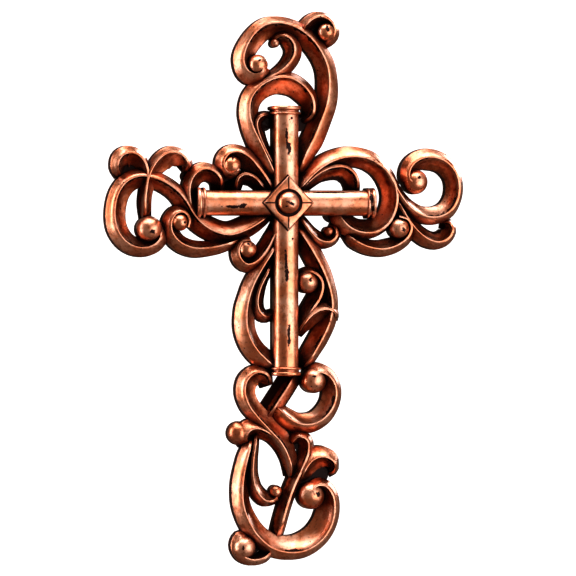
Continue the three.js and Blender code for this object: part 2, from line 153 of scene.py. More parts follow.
# %% Draw the ribbons
ribbons = {
    "crown": {
        "ridge": [[298, 174], [305, 154], [313, 138], [320, 121], [326, 104], [328.5, 86], [327, 68],
            [320.5, 52], [310, 38], [296, 28], [281, 23.5], [266, 25], [254, 34], [246, 47], [243, 60],
            [246, 69.5], [253, 74.5], [260, 73], [263.5, 67]],
        "out": [7, 11, 10.5, 8.5, 6.5, 5.5, 5.5, 7.5, 10, 7],
        "in": [6, 9, 9, 9, 10.5, 13, 14, 11, 6, 2],
        "climb": 3,
    },
    "crownCurl": {
        "ridge": [[258, 84], [268, 77.5], [279, 71.5], [288, 63.5], [293.5, 54], [293, 44], [287.5, 37.5],
            [279, 37], [273.5, 42]],
        "out": [3, 7, 8, 8, 6, 4, 3],
        "in": [3, 3, 4.5, 6, 8, 6, 3],
    },
    "crownBead": {
        "ridge": [[301, 36], [304.5, 27], [310, 20.5], [318, 17], [326, 18.5], [332, 24], [334, 32],
            [330, 39], [323, 42]],
        "out": [2, 4, 4, 4, 5, 6, 6],
        "in": [4, 8, 8, 6, 3, 2, 2],
    },
    "upperLoop": {
        "ridge": [[277, 180], [268, 160], [259.5, 142], [252, 126], [249, 112], [250.5, 99], [257, 89],
            [267, 81.5], [279, 77.5], [292, 79], [303, 86], [310.5, 96], [313, 107], [310, 117], [303, 121]],
        "out": [6, 10, 8, 7, 6, 5.5, 6, 5, 3],
        "in": [5, 7, 9, 12, 14, 15.5, 13, 8, 5],
    },
    "upperLeaf": {
        "ridge": [[278, 174], [270, 158], [263.5, 145], [258.5, 132], [257, 123], [260, 117], [267, 114.5],
            [275, 115.5]],
        "out": [3, 3, 3, 2.5, 2.5],
        "in": [4, 6, 8, 8, 4],
        "low": 2,
    },
    "swag": {
        "ridge": [[272, 212], [260, 221], [246, 229], [230, 234], [214, 230.5], [201, 222], [192.5, 211.5],
            [187, 202], [178, 191], [167, 183], [154, 177.5], [140, 176], [128, 181], [120, 191],
            [116, 204], [115.5, 217], [118.5, 230], [126, 240.5], [137, 246.5], [149, 246.5],
            [158, 241], [162, 232], [160, 224]],
        "out": [7, 12, 12, 9, 6, 6, 6, 6, 7, 7.5, 8, 6],
        "in": [5, 8, 9, 10, 9, 9, 12, 12, 11, 9, 6, 3],
    },
    "hornLeft": {
        "ridge": [[147, 219], [145, 203], [146.5, 187], [148, 173], [143.5, 160], [135, 153.5], [126, 154],
            [120, 160], [119, 168], [123, 176]],
        "out": [2, 2, 2, 4, 5.5, 6, 5, 4],
        "in": [3, 3, 3, 8, 14, 13, 9, 5],
    },
    "hornRight": {
        "ridge": [[146, 219], [145.5, 203], [147, 187], [151, 172], [158, 160.5], [167, 153.5], [177, 153],
            [185.5, 158.5], [188.5, 167], [184.5, 171.5]],
        "out": [2, 2, 2, 3, 4, 5, 5, 5, 4],
        "in": [7, 7, 9, 13, 15, 12, 8, 4],
    },
    "armVoluteLeft": {
        "ridge": [[242, 238], [226, 243.5], [209, 247], [193, 247], [180, 241.5], [172.5, 232],
            [171.5, 221.5], [176.5, 213], [184, 212], [189, 218.5], [187.5, 226.5]],
        "out": [4, 7, 8, 7.5, 7, 6, 5, 3],
        "in": [2, 5, 7, 8, 6, 3, 1],
        "climb": 3.2,
    },
    "hookLeft": {
        "ridge": [[194, 214], [190, 199], [190, 185], [195, 174], [205, 168.5], [215, 172],
            [221, 180], [222, 190]],
        "out": [3, 5, 5, 5.5, 5, 4, 3],
        "in": [5, 8, 11, 12, 9, 7],
    },
    "shoulderVolute": {
        "ridge": [[276, 195.5], [268, 181.5], [259, 168.5], [249, 157], [238, 151.5], [228.5, 153.5],
            [223.5, 161.5], [225.5, 170], [233, 173], [238, 168.5]],
        "out": [3, 4, 6, 6, 6, 6, 6, 5, 3],
        "in": [5, 8, 11, 12, 9, 4, 2, 1],
        "climb": 2.8,
    },
    "shoulderHook": {
        "ridge": [[270, 194], [262, 185], [254.5, 177], [246, 174], [239, 177.5], [237, 186], [237, 192]],
        "out": [2, 3, 3, 3, 3, 3],
        "in": [3, 6, 9, 8, 7, 5],
        "low": 2,
    },
    "archRight": {
        "ridge": [[294, 194], [304, 183], [314, 172.5], [327, 163], [341, 157.5], [356, 156], [370, 159],
            [383, 167.5], [392, 179], [396, 193], [394.5, 208], [388, 221.5], [376, 230.5], [362, 231.5],
            [350, 227], [341, 218], [335, 206]],
        "out": [4, 7, 9, 9, 8, 5, 4, 4, 4, 6, 8.5, 7],
        "in": [3, 6, 8, 9, 10, 12, 12, 12, 12, 11, 8],
    },
    "hookRight": {
        "ridge": [[298, 194], [309, 181], [321, 171.5], [334, 166.5], [346, 167], [354.5, 174],
            [358, 184], [358, 194]],
        "out": [2, 2, 2.5, 2.5, 2.5, 2.5, 2.5],
        "in": [5, 8, 11, 13, 12, 10],
        "low": 1.2,
    },
    "endLoopRight": {
        "ridge": [[366, 158], [376, 161.5], [385, 168.5], [392, 180], [400, 194], [410, 206.5], [423, 214.5],
            [437, 216], [449, 210.5], [456.5, 199], [458.5, 185], [455, 171.5], [445, 160.5], [431, 156],
            [418, 159], [409.5, 168], [408.5, 178.5], [414, 182.5]],
        "out": [3, 4, 5, 6, 6, 6, 6, 5, 5, 6, 7, 7, 6, 4],
        "in": [3, 4, 5, 5, 7, 9, 10, 10, 10, 11, 12, 9, 6, 3],
        "climb": 3,
    },
    "armVoluteRight": {
        "ridge": [[346, 232], [355, 240], [368, 246], [383, 248], [397, 244], [407, 236], [410.5, 226],
            [406.5, 218.5], [398.5, 216.5]],
        "out": [3, 6, 6.5, 6.5, 6, 4.5, 4, 3],
        "in": [2, 5, 7, 8, 6, 3, 1, 1],
        "climb": 2.5,
    },
    "tailLeafRight": {
        "ridge": [[395, 196], [401, 206], [408, 218], [417, 229.5], [428, 238], [439, 241], [448, 237],
            [452.5, 229], [450, 222], [443, 220.5]],
        "out": [3, 5, 7, 7, 6, 5, 4, 3],
        "in": [4, 6, 7, 8, 9, 9, 7, 4],
        "low": 1,
    },
    "underHookRight": {
        "ridge": [[297, 210], [304, 222], [312, 233], [321, 240], [330, 240.5], [336, 234.5], [335.5, 227.5],
            [331, 224.5]],
        "out": [3, 5, 6, 5, 4, 3],
        "in": [3, 6, 8, 7, 5, 3],
        "low": 1,
    },
    "underVoluteLeft": {
        "ridge": [[278, 222], [273, 236], [266, 249], [256.5, 260], [247, 263.5], [240, 257.5], [238.5, 248],
            [243, 241], [250, 240]],
        "out": [3, 6, 7, 7, 6, 5, 4, 3],
        "in": [3, 6, 7, 7, 5, 3, 2, 1],
        "climb": 3.2,
    },
    "bowLeft": {
        "ridge": [[279, 240], [270, 254], [260, 270], [252, 286], [247.5, 302], [246, 318], [248.5, 334],
            [256, 348], [266, 358.5], [278, 368]],
        "out": [3, 6, 7, 7.5, 9, 10, 10.5, 10, 7],
        "in": [3, 5, 6, 8, 9, 9, 9, 10, 8],
    },
    "bowLeafLeft": {
        "ridge": [[274, 262], [266, 275], [260, 288], [257.5, 301], [260, 311], [267, 315.5], [276, 313]],
        "out": [3, 4, 5, 5, 5, 4],
        "in": [3, 5, 7, 7, 6, 4],
        "low": 1.5,
    },
    "bowRight": {
        "ridge": [[294, 224], [303, 236], [313, 252], [322, 269], [328.5, 286], [331.5, 303], [329, 320],
            [322, 336], [313, 352], [303, 367]],
        "out": [3, 7, 8.5, 8, 7, 6.5, 7, 7, 6, 5],
        "in": [3, 7, 9, 9, 8, 8, 9, 10, 10, 8],
    },
    "cuffCurl": {
        "ridge": [[298, 333], [303, 323], [310, 314.5], [319, 309], [328, 308.5], [335, 313], [335.5, 320]],
        "out": [3, 4, 5.5, 5.5, 4, 3],
        "in": [5, 9, 10, 9, 6, 4],
        "high": 1.5,
    },
    "innerVoluteRight": {
        "ridge": [[296, 330], [305, 318], [313, 306], [320, 294], [321.5, 282], [316, 273.5],
            [307, 271.5], [301, 276]],
        "out": [3, 4, 4, 4, 4, 4, 3],
        "in": [5, 8, 9, 8, 5, 3],
        "low": 0.6,
    },
    "heartLoopLeft": {
        "ridge": [[292, 476], [289, 459], [281, 442], [269, 428.5], [257, 415.5], [248, 403], [244, 389.5],
            [247, 377.5], [257, 370.5], [267, 374], [271.5, 384]],
        "out": [2, 3, 4, 5, 6, 6, 6, 5, 3],
        "in": [6, 9, 12, 12, 11, 11, 12, 12, 10, 7],
        "high": 0.8,
    },
    "strapUpper": {
        "ridge": [[297, 370], [288, 385], [277, 402], [266, 419]],
        "out": [9, 9, 9],
        "in": [10, 10, 10],
        "low": 3,
    },
    "curlLeft": {
        "ridge": [[291, 474], [287, 456], [279, 441.5], [268, 431], [257, 426.5], [249.5, 428.5],
            [246.5, 435.5], [249, 442.5]],
        "out": [2, 3, 4, 6, 9, 10, 7],
        "in": [3, 4, 5, 8, 8, 5, 3],
    },
    "footHoop": {
        "ridge": [[253, 436], [248, 452], [244, 469], [242, 486], [243, 503], [249, 520], [258.5, 534.5],
            [272, 545.5], [288, 550], [305, 548], [319.5, 539], [329, 526], [333.5, 510], [332, 494],
            [325, 484.5], [316.5, 483.5], [312, 488.5], [314, 494]],
        "out": [4, 7, 8, 8, 8, 7, 6.5, 6, 6, 6, 6, 5, 4],
        "in": [3, 5, 6, 8, 10, 12, 15, 17, 17, 16, 12, 9, 5, 3],
        "climb": 3.8,
    },
    "footLeaf": {
        "ridge": [[258, 430], [255, 445], [253, 460], [253, 475], [257, 489], [266, 498.5],
            [276, 496.5], [280, 488]],
        "out": [3, 4, 4, 5, 5, 4, 3],
        "in": [3, 5, 6, 7, 9, 8, 4],
        "low": 1,
    },
    "strapLower": {
        "ridge": [[291, 443], [298, 435], [306.5, 438.5], [307.5, 450], [301, 467], [293.5, 483], [287, 501],
            [282, 518], [278, 535]],
        "out": [5, 6, 6, 5.5, 5.5, 5.5, 5.5],
        "in": [5, 7, 7, 6, 6, 6, 6],
        "low": 0.5,
    },
    "curlRight": {
        "ridge": [[300, 480], [305, 467], [313, 457.5], [324, 455], [332.5, 459.5], [335, 467.5],
            [330, 472.5]],
        "out": [4, 8, 10, 8, 4, 3],
        "in": [6, 10, 11, 9, 6, 3],
    },
    "footBead": {
        "ridge": [[274.5, 546.5], [264.5, 554.5], [252.5, 557], [242.5, 553], [238, 543.5], [241.5, 535],
            [249.5, 533.5]],
        "out": [3, 5, 5, 5, 5, 4],
        "in": [3, 4, 3, 2, 2, 2],
    },
    "loopRight": {
        "ridge": [[276, 404], [286, 414.5], [299, 422], [313, 422], [325, 415], [333.5, 402], [335, 387],
            [329.5, 376], [321, 371], [314, 373.5], [313, 380]],
        "out": [9, 9, 8, 7, 6, 6, 7, 10, 7],
        "in": [6, 9, 10, 11, 11, 10, 7, 4],
        "climb": 3.6,
    },
}

print(len(ribbons), "ribbons")

# %% [markdown]
# ## Beads and webs
#
# Most curls end in a round bead. Low webs close the hollows where neighbours meet.

# %% Draw the beads and webs
# Round beads: where each is on the sheet, its radius in squares, and how far its dome
# stands over the ribbons' ridge, in millimetres.
beads = {
    "crown": [258, 65, 10, 2.5],
    "crownCurl": [275.5, 43.5, 4.5, -2],
    "crownBead": [326, 32, 9, 2],
    "swag": [150.5, 228.5, 13, 3],
    "armVoluteLeft": [180.5, 222, 8.5, 2.5],
    "shoulderVolute": [232, 165, 9, 2.5],
    "endLoopRight": [416, 181, 12.5, 2],
    "armVoluteRight": [399.5, 227.5, 10.5, 2.5],
    "underHookRight": [329.5, 231, 5.5, -3],
    "underVoluteLeft": [247.5, 248.5, 9, 2.5],
    "innerVoluteRight": [307.5, 281.5, 11, 2],
    "loopRight": [314, 379, 13, 2],
    "footHoop": [311.5, 493.5, 14, 2],
    "footBead": [244.5, 545, 11.5, 2.5],
    "footLeaf": [276.5, 489.5, 6.5, -2],
    "curlLeft": [240.5, 431.5, 12, -2],
}

# Low round webs that close the hollows between ribbons: place and radius on the sheet
webs = [
    [129, 167, 9], [189, 176, 6], [227, 176, 5], [334, 213, 9], [400, 207, 7], [297, 437, 11],
    [254, 545, 7], [314, 31, 7], [266, 124, 7], [301, 124, 7], [306, 474, 9], [320, 473, 10],
]
web_height = 6 * mm

print(len(beads), "beads and", len(webs), "webs")

# %% [markdown]
# ## Small helpers
#
# `on_cross` turns a place on the sheet into a place on the casting. `along` reads a list of
# widths at any share of a ribbon. `new_piece` turns points and faces into an object. A disc, a
# block and a ball are placed by how far across, up and out from the back they reach, and
# `joined` adds one closed piece to another or cuts it away.

# %% Write the helpers
def on_cross(x, y):
    return (x - sheet_middle[0]) * square_wide, (sheet_middle[1] - y) * square


def along(values, t):
    place = t * (len(values) - 1)
    first = min(int(place), len(values) - 2)
    share = place - first
    share = share * share * (3 - 2 * share)
    return values[first] * (1 - share) + values[first + 1] * share


def new_piece(name, points, faces):
    mesh = bpy.data.meshes.new(name)
    mesh.from_pydata(points, [], faces)
    made = bpy.data.objects.new(name, mesh)
    bpy.context.collection.objects.link(made)
    return made


def volume(piece):
    probe = bmesh.new()
    probe.from_mesh(piece.data)
    found = probe.calc_volume(signed=True)
    probe.free()
    return found


def new_disc(x, z, radius, low, high, sides=32):
    bpy.ops.mesh.primitive_cylinder_add(vertices=sides, radius=radius, depth=high - low,
                                        location=(x, -(low + high) / 2, z), rotation=(math.pi / 2, 0, 0))
    return bpy.context.object


def new_block(x, z, wide, tall, low, high, turn=0.0):
    bpy.ops.mesh.primitive_cube_add(size=1, location=(x, -(low + high) / 2, z), rotation=(0, -turn, 0))
    bpy.context.object.scale = (wide, high - low, tall)
    return bpy.context.object


def new_ball(x, z, radius, centre, top, rings=16):
    bpy.ops.mesh.primitive_uv_sphere_add(segments=rings * 2, ring_count=rings, radius=1,
                                         location=(x, -centre, z), rotation=(math.pi / 2, 0, 0))
    bpy.context.object.scale = (radius, radius, top - centre)
    return bpy.context.object


def joined(a, b, how):
    step = a.modifiers.new("join", "BOOLEAN")
    step.operation = how
    step.solver = "MANIFOLD"
    step.object = b
    bpy.context.view_layer.objects.active = a
    bpy.ops.object.modifier_apply(modifier="join")
    bpy.data.objects.remove(b, do_unlink=True)


print("the boss is at", on_cross(*sheet_middle))

# %% [markdown]
# ## Ridge lines
#
# A smooth curve goes through a ribbon's points. It is walked in short equal steps, so the
# carving is as fine on a long sweep as in a tight curl.

# %% Walk along a ridge
step_length = 1.5 * mm
curve_steps = 16


def ridge_line(points):
    at = [Vector(on_cross(*p)) for p in points]
    before = at[0] * 2 - at[1]
    after = at[-1] * 2 - at[-2]
    at = [before] + at + [after]
    fine = []
    for i in range(1, len(at) - 2):
        p0, p1, p2, p3 = at[i - 1:i + 3]
        d1 = math.sqrt((p1 - p0).length)
        d2 = math.sqrt((p2 - p1).length)
        d3 = math.sqrt((p3 - p2).length)
        m1 = (p1 - p0) / d1 - (p2 - p0) / (d1 + d2) + (p2 - p1) / d2
        m2 = (p2 - p1) / d2 - (p3 - p1) / (d2 + d3) + (p3 - p2) / d3
        m1 *= d2
        m2 *= d2
        for k in range(curve_steps):
            t = k / curve_steps
            fine.append((i - 1 + t, (2 * t**3 - 3 * t**2 + 1) * p1 + (t**3 - 2 * t**2 + t) * m1
                         + (3 * t**2 - 2 * t**3) * p2 + (t**3 - t**2) * m2))
    fine.append((len(at) - 3, at[-2]))
    walked = [fine[0]]
    for entry in fine[1:]:
        if (entry[1] - walked[-1][1]).length >= step_length:
            walked.append(entry)
    walked[-1] = fine[-1]
    spans = len(at) - 3
    return [(share / spans, place) for share, place in walked]


print("the crown's ridge has", len(ridge_line(ribbons["crown"]["ridge"])), "stations")

# %% [markdown]
# ## A carved ribbon
#
# The section is the carver's: a short wall, a full outer side, a crisp ridge and a hollow inner
# side. It is set at each station of the ridge and joined to the next. A loft with a section
# that changes all along has no ready-made tool, so its points are worked out here.

# %% Loft one ribbon
section_points = 18
crest_half = 0.34 * mm
edge_round = 0.25 * mm

# How high a ribbon stands at its blunt ends, and at a tip that lies on a bead, as shares, and
# how far from an end it stands at its full height
blunt_end = 0.5
bead_end = 0.88
end_reach = 6 * mm

# A tip climbs onto its bead from this share of its length on
climb_from = 0.85

# In a tight curl the inner side is at most this share of the curl's radius. The radius is read
# over a few stations on each side, and the widths are evened in rounds.
curl_share = 0.92
curl_stations = 3
even_rounds = 4

# The ridge's black line: how strong it is at the section's points beside the crest
line_points = {11: 1.0, 12: 0.6}


# o and n are the widths outside and inside the ridge, and b is half the width of its crest
def section(o, n, top, wall, inner):
    rise = top - wall
    fall = top - inner
    b = min(crest_half, 0.16 * min(o, n))
    return [
        (-o - wall_draft, 0.0), (-o, wall * 0.6), (-o, wall - edge_round),
        (-o + edge_round, wall + edge_round / 5), (-o * 0.74, wall + rise * 0.30),
        (-o * 0.48, wall + rise * 0.58), (-b * 3.0, top - b * 2.2), (-b * 1.35, top - b * 1.5),
        (-b, top - b * 0.3), (0.0, top), (b, top - b * 0.3), (b * 1.35, top - b * 2.2),
        (n * 0.24, top - fall * 0.40), (n * 0.42, top - fall * 0.63), (n * 0.64, top - fall * 0.84),
        (n * 0.86, inner + fall * 0.04), (n, inner - edge_round), (n + wall_draft, 0.0),
    ]


def evened(values, rounds):
    for _ in range(rounds):
        padded = [values[0]] + values + [values[-1]]
        values = [(padded[i - 1] + 2 * padded[i] + padded[i + 1]) / 4
                  for i in range(1, len(padded) - 1)]
    return values


def loft_ribbon(name, ridge, out, inside, low=0.0, high=0.0, climb=0.0):
    stations = ridge_line(ridge)
    places = [p for _, p in stations]
    last = len(places) - 1
    tangents = [(places[min(i + 1, last)] - places[max(i - 1, 0)]).normalized()
                for i in range(last + 1)]
    turned = sum(tangents[i].x * tangents[i + 1].y - tangents[i].y * tangents[i + 1].x
                 for i in range(last))
    side = 1 if turned > 0 else -1
    lift = (high - low) * mm
    reach = []
    for i, (t, place) in enumerate(stations):
        a, b = max(i - curl_stations, 0), min(i + curl_stations, last)
        turn = tangents[a].x * tangents[b].y - tangents[a].y * tangents[b].x
        bend = max(side * turn / max((places[b] - places[a]).length, 1e-6), 1e-3)
        reach.append(min((along(inside, t) + fullness) * square, curl_share / bend))
    reach = evened(reach, even_rounds)
    points = []
    for i, (t, place) in enumerate(stations):
        o = (along(out, t) + fullness) * square
        n = reach[i]
        end = min(i, last - i) * step_length
        least = bead_end if climb and i > last / 2 else blunt_end
        fade = least + (1 - least) * math.sqrt(min(end / end_reach, 1.0))
        onto = min(max((t - climb_from) / (1 - climb_from), 0.0), 1.0)
        onto = climb * mm * onto * onto * (3 - 2 * onto)
        top, wall, inner = [(h + lift + onto) * fade for h in (ridge_height, wall_height, inner_wall)]
        for s, rise in section(o, n, top, wall, inner):
            points.append((place.x - tangents[i].y * s * side, -rise, place.y + tangents[i].x * s * side))
    across = section_points
    faces = []
    for i in range(last):
        for k in range(across):
            p, q = i * across + k, i * across + (k + 1) % across
            faces.append((p, p + across, q + across, q))
    faces.append(tuple(range(across)))
    faces.append(tuple(range(last * across + across - 1, last * across - 1, -1)))
    if side < 0:
        faces = [f[::-1] for f in faces]
    piece = new_piece(name, points, faces)
    beside = piece.data.attributes.new("ridge", "FLOAT", "POINT")
    beside.data.foreach_set("value", [line_points.get(i % across, 0.0) for i in range(len(points))])
    return piece


parts = []
for name, r in ribbons.items():
    made = loft_ribbon(name, r["ridge"], r["out"], r["in"], r.get("low", 0), r.get("high", 0),
                       r.get("climb", 0))
    parts.append(made)
print("inside out:", [p.name for p in parts if volume(p) <= 0])
print("faces:", sum(len(p.data.polygons) for p in parts))

# %% [markdown]
# ## Beads
#
# Most curls end in a round bead. A lofted end would be faceted, so a ready-made ball is used, on
# a round skirt that reaches the flat back. A web is only a low round plate.

# %% Set the beads and webs
bead_skirt = 2 * mm

# A skirt is this share of its ball's radius, so that their faces never lie on each other
skirt_share = 0.999

for x, y, radius, over in beads.values():
    r = radius * square
    cx, cz = on_cross(x, y)
    top = ridge_height + over * mm
    centre = top - min(r, top - bead_skirt)
    parts.append(new_ball(cx, cz, r, centre, top))
    parts.append(new_disc(cx, cz, r * skirt_share, 0, centre))
for x, y, radius in webs:
    cx, cz = on_cross(x, y)
    parts.append(new_disc(cx, cz, radius * square, 0, web_height))
print(len(parts), "parts so far")

# %% [markdown]
# ## The bar cross
#
# Each bar has a round front on straight sides and swells into two rings at both ends. The rings
# could be discs of their own, but one loft from end to end leaves fewer surfaces to unite.

# %% Loft the bars
bar_arc = 24

# How far the round front starts below the bar's front, as a share of its width
front_share = 0.46


# Each entry is a place from the bar's end in millimetres, and a share of the rings' rise
def ringed_ends(reach_from, reach_to):
    end = [(0, 0.2), (0.12, 0.62), (0.4, 0.9), (0.8, 1.0), (end_ring / mm - 0.7, 1.0),
           (end_ring / mm - 0.25, 0.8), (end_ring / mm, 0.3), (end_ring / mm + 0.1, 0.22)]
    groove_end = (end_ring + ring_groove) / mm
    ring_end = groove_end + inner_ring / mm
    end += [(groove_end - 0.1, 0.22), (groove_end, 0.3), (groove_end + 0.3, 0.85), (groove_end + 0.6, 1.0),
            (ring_end - 0.6, 1.0), (ring_end - 0.25, 0.8), (ring_end, 0.1), (ring_end + 0.05, 0)]
    first = [(reach_from + place * mm, share * ring_rise) for place, share in end]
    second = [(reach_to - place * mm, share * ring_rise) for place, share in end]
    return first + second[::-1]


def loft_bar(name, stations, upright):
    points = []
    across = bar_arc + 3
    shoulder = bar_height - bar_width * front_share
    for place, rise in stations:
        half = bar_width / 2 + rise
        front = bar_height + rise - shoulder
        ring = [(-half, 0.0)]
        for i in range(bar_arc + 1):
            a = i / bar_arc * math.pi
            c, s = math.cos(a), math.sin(a)
            ring.append((-half * c, shoulder + front * s))
        ring.append((half, 0.0))
        for s, rise_here in ring:
            points.append((s, -rise_here, place) if upright else (place, -rise_here, -s))
    faces = []
    last = len(stations) - 1
    for i in range(last):
        for k in range(across):
            p, q = i * across + k, i * across + (k + 1) % across
            faces.append((p, q, q + across, p + across))
    faces.append(tuple(range(across))[::-1])
    faces.append(tuple(range(last * across, last * across + across)))
    return new_piece(name, points, faces)


arms = loft_bar("arms", ringed_ends(-arm_reach, arm_reach), False)
upright = loft_bar("upright", ringed_ends(-upright_foot, upright_top), True)
parts += [arms, upright]
print("bars:", [round(volume(b) * 1e9) for b in (arms, upright)], "cubic millimetres")

# %% [markdown]
# ## The diamond boss
#
# The boss covers the crossing. Drawing it point by point would work too, but a ready-made
# four-sided prism only has to be stretched to the diamond's size and have its edges bevelled.

# %% Build the diamond
diamond = new_disc(0, 0, 0.5, 0, diamond_height, sides=4)
diamond.name = "diamond"
diamond.scale = (diamond_wide, diamond_tall, 1)
bpy.ops.object.transform_apply(location=True, rotation=True, scale=True)
bevel = diamond.modifiers.new("bevel", "BEVEL")
bevel.width = diamond_bevel
bevel.segments = 3
bevel.limit_method = "ANGLE"
bpy.ops.object.modifier_apply(modifier="bevel")
print("diamond:", round(volume(diamond) * 1e9), "cubic millimetres")

# %% [markdown]
# ## The boss's groove, lines and ball
#
# A groove runs round the ball, and a line from it to each tip. They could be bumps in the
# shading, but real cuts hold shadow and black from every side. A thin torus that stands just
# clear of the diamond's face cuts the groove, and a narrow block cuts each line.

# %% Engrave the diamond and set the ball
groove_radius = (ring_radius + ball_radius) / 2
groove_half = (ring_radius - ball_radius) * 0.8
groove_clear = 0.1 * mm
bpy.ops.mesh.primitive_torus_add(location=(0, -diamond_height - groove_clear, 0),
                                 rotation=(math.pi / 2, 0, 0), major_radius=groove_radius,
                                 minor_radius=groove_half, major_segments=64, minor_segments=12)
joined(diamond, bpy.context.object, "DIFFERENCE")
line_low = diamond_height - line_width / 2
for i, reach in enumerate((diamond_wide, diamond_tall, diamond_wide, diamond_tall)):
    long = reach / 2 + overrun - ring_radius
    middle = ring_radius + long / 2
    turn = i * math.pi / 2
    cut = new_block(middle * math.cos(turn), middle * math.sin(turn), long, line_width * 0.8,
                    line_low, line_low + line_width, turn)
    joined(diamond, cut, "DIFFERENCE")
parts.append(diamond)
parts.append(new_ball(0, 0, ball_radius, diamond_height - ball_seat, diamond_height + ball_rise, rings=24))
print("engraved:", round(volume(diamond) * 1e9), "cubic millimetres")

# %% [markdown]
# ## One casting
#
# All of it was poured as one, so the parts are united into one closed solid, and its back is
# skimmed flat.

# %% Unite the parts
casting = parts[0]
for piece in parts[1:]:
    joined(casting, piece, "UNION")
casting.name = "casting"
casting.data.name = "casting"
joined(casting, new_block(0, 0, cross_width * 2, cross_height * 2, skim - skim_thick, skim), "DIFFERENCE")
print("one solid of", len(casting.data.polygons), "faces,", round(volume(casting) * 1e9), "mm3")

# %% [markdown]
# ## The back
#
# A screw's head goes in at the keyhole's round end, and its shank slides up the slot. The slot
# and the wider channel behind it are each two discs and a block between them. The casting then
# moves forward by as much as the pad stands proud, and the pad is added at the wall.

# %% Cut the keyhole and set the pad
joined(casting, new_disc(0, keyhole_foot, keyhole_radius, -keyhole_lip, keyhole_lip, sides=48), "DIFFERENCE")
keyhole_cuts = ((keyhole_slot / 2, -overrun, keyhole_lip + overrun / 2),
                (keyhole_radius, keyhole_lip, keyhole_depth))
for radius, low, high in keyhole_cuts:
    for z in (keyhole_foot, keyhole_foot + keyhole_rise):
        joined(casting, new_disc(0, z, radius, low, high, sides=48), "DIFFERENCE")
    between = new_block(0, keyhole_foot + keyhole_rise / 2, radius * 2, keyhole_rise, low, high)
    joined(casting, between, "DIFFERENCE")
casting.location.y = -pad_proud
pad = new_block(0, (pad_foot + pad_top) / 2, pad_half * 2, pad_top - pad_foot, 0, pad_thick)
joined(casting, pad, "UNION")
print("keyhole and pad:", round(volume(casting) * 1e9), "cubic millimetres")

# %% [markdown]
# ## Cleaning
#
# Where two surfaces nearly touch, uniting them leaves slivers. Faces and edges under a hundredth
# of a millimetre are dissolved, and what is left inside or loose is deleted.

# %% Clean the slivers away
bpy.ops.object.select_all(action="DESELECT")
casting.select_set(True)
bpy.context.view_layer.objects.active = casting
bpy.ops.object.mode_set(mode="EDIT")
bpy.ops.mesh.select_all(action="SELECT")
bpy.ops.mesh.dissolve_degenerate(threshold=sliver)
bpy.ops.mesh.quads_convert_to_tris()
bpy.ops.mesh.dissolve_degenerate(threshold=sliver)
bpy.ops.mesh.remove_doubles(threshold=sliver / 10)
bpy.ops.mesh.select_mode(type="FACE")
bpy.ops.mesh.select_all(action="DESELECT")
bpy.ops.mesh.select_interior_faces()
bpy.ops.mesh.delete(type="FACE")
bpy.ops.mesh.delete_loose(use_faces=True)
bpy.ops.object.mode_set(mode="OBJECT")
casting.data.calc_loop_triangles()
print("after cleaning:", len(casting.data.loop_triangles), "triangles")

# %% [markdown]
# ## Shading
#
# Faces that meet at a small angle shade as one smooth surface. Smoothing all of them would blur
# the ridges, so the sharper edges stay crisp.

# %% Shade smooth by angle
crisp_angle = math.radians(38)
bpy.ops.object.transform_apply(location=True, rotation=True, scale=True)
bpy.ops.object.shade_smooth_by_angle(angle=crisp_angle)
print("box:", [round(v, 4) for v in casting.dimensions])

# %% [markdown]
# ## Node groups for the finish
#
# Each group holds one effect: a worn chip of black, whose mask also shapes the places of painted
# light, a height above the wall turned into a share, and fine specks. The shader itself stays in the
# material.

# %% Make the node groups
def new_group(name, sockets_in, sockets_out):
    group = bpy.data.node_groups.new(name, "ShaderNodeTree")
    for label, kind, value in sockets_in:
        made = group.interface.new_socket(label, in_out="INPUT", socket_type=kind)
        made.default_value = value
    for label in sockets_out:
        group.interface.new_socket(label, in_out="OUTPUT", socket_type="NodeSocketFloat")
    start = group.nodes.new("NodeGroupInput")
    finish = group.nodes.new("NodeGroupOutput")
    return group, start, finish


def math_node(tree, how, a, b=None, clamp=False, third=None):
    node = tree.nodes.new("ShaderNodeMath")
    node.operation = how
    node.use_clamp = clamp
    for i, value in enumerate((a, b, third)):
        if value is None:
            continue
        if isinstance(value, (int, float)):
            node.inputs[i].default_value = value
        else:
            tree.links.new(value, node.inputs[i])
    return node.outputs[0]


def ramp(tree, value, low, high, to_low=0.0, to_high=1.0):
    node = tree.nodes.new("ShaderNodeMapRange")
    node.interpolation_type = "SMOOTHSTEP"
    tree.links.new(value, node.inputs["Value"])
    node.inputs["From Min"].default_value = low
    node.inputs["From Max"].default_value = high
    node.inputs["To Min"].default_value = to_low
    node.inputs["To Max"].default_value = to_high
    return node.outputs["Result"]


def noise(tree, vector, scale, detail=3.0, rough=0.55):
    node = tree.nodes.new("ShaderNodeTexNoise")
    tree.links.new(vector, node.inputs["Vector"])
    node.inputs["Scale"].default_value = scale
    node.inputs["Detail"].default_value = detail
    node.inputs["Roughness"].default_value = rough
    return node.outputs["Fac"]


